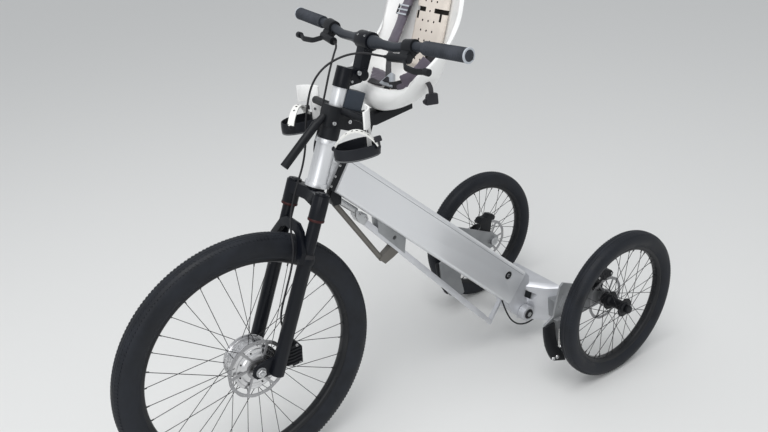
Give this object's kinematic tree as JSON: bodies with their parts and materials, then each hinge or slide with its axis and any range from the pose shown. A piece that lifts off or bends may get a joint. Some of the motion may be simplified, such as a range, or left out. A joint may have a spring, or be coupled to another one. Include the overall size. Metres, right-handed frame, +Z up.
{
  "type": "three-wheeled upright electric cycle with child seat",
  "caption": "Upright three-wheeler: steered front wheel in a fork, child seat and foot cups on the steering column, sloping beam to a two-wheel rear knuckle.",
  "frame": {"origin": "on the ground under the middle of the vehicle's length and width", "axes": "+X forward along the vehicle, +Y to the rider's left, +Z up"},
  "size_m": [1.6179, 0.7, 1.275],
  "materials": {
    "frame_silver": "brushed, clear coated",
    "black_metal": "satin black powder coat",
    "silver_metal": "satin",
    "grey_metal": "matt anodised",
    "polished": "polished",
    "steel": "brushed",
    "tyre": "matt",
    "rubber": "soft matt",
    "black_plastic": "fine grain",
    "white_plastic": "glossy moulded",
    "pad_fabric": "woven polyester",
    "buckle_plastic": "satin"
  },
  "bodies": {
    "frame": {"main_beam": "frame_silver", "front_flange": "black_metal", "head_tube": "silver_metal", "front_lug": "black_metal", "upper_link": "steel", "lower_tube": "silver_metal", "rear_arm": "silver_metal", "beam_bracket": "grey_metal", "brace": "black_metal", "end_clevis": "silver_metal", "knuckle_block": "silver_metal", "knuckle_pin": "black_metal", "side_plates": "grey_metal", "cross_arms": "grey_metal", "wheel_guards": "black_plastic", "rear_axles": "steel", "rear_calipers": "black_metal", "rear_hose_lower": "rubber"},
    "steering": {"front_axle": "steel", "fork_crown": "black_metal", "stanchions": "black_metal", "fork_lowers": "black_metal", "front_caliper": "black_metal", "seat_mount": "black_metal", "front_bar": "black_metal", "latch_box": "grey_metal", "column_tube": "silver_metal", "stem": "black_metal", "handlebar": "black_metal", "grips": "rubber", "lever_bodies": "black_metal", "lever_blades": "black_metal", "seat_shell": "white_plastic", "seat_pad": "pad_fabric", "back_pad": "pad_fabric", "shoulder_pads": "pad_fabric", "harness_buckle": "buckle_plastic", "leg_guards": "white_plastic", "foot_cups": "black_plastic", "foot_straps": "white_plastic", "front_hose": "rubber", "rear_hose_upper": "rubber"},
    "front_wheel": {"front_tyre": "tyre", "front_rim": "black_metal", "front_hub": "polished", "front_rotor": "steel", "front_spokes": "black_metal"},
    "rear_left_wheel": {"rear_tyre_left": "tyre", "rear_rim_left": "black_metal", "rear_hub_left": "black_metal", "rear_rotor_left": "steel", "rear_spokes_left": "black_metal"},
    "rear_right_wheel": {"rear_tyre_right": "tyre", "rear_rim_right": "black_metal", "rear_hub_right": "black_metal", "rear_rotor_right": "steel", "rear_spokes_right": "black_metal"}
  },
  "joints": [
    {"name": "steering", "type": "hinge", "parent": "frame", "child": "steering", "pos_m": [0.204, 0, 0.812], "axis": [-0.3795, 0, 0.9252], "range_deg": [-45, 45]},
    {"name": "front_wheel_spin", "type": "hinge", "parent": "steering", "child": "front_wheel", "pos_m": [0.464, 0, 0.345], "axis": [0, 1, 0], "continuous": true},
    {"name": "rear_left_wheel_spin", "type": "hinge", "parent": "frame", "child": "rear_left_wheel", "pos_m": [-0.578, 0.303, 0.231], "axis": [0, 1, 0], "continuous": true},
    {"name": "rear_right_wheel_spin", "type": "hinge", "parent": "frame", "child": "rear_right_wheel", "pos_m": [-0.578, -0.303, 0.231], "axis": [0, 1, 0], "continuous": true}
  ]
}
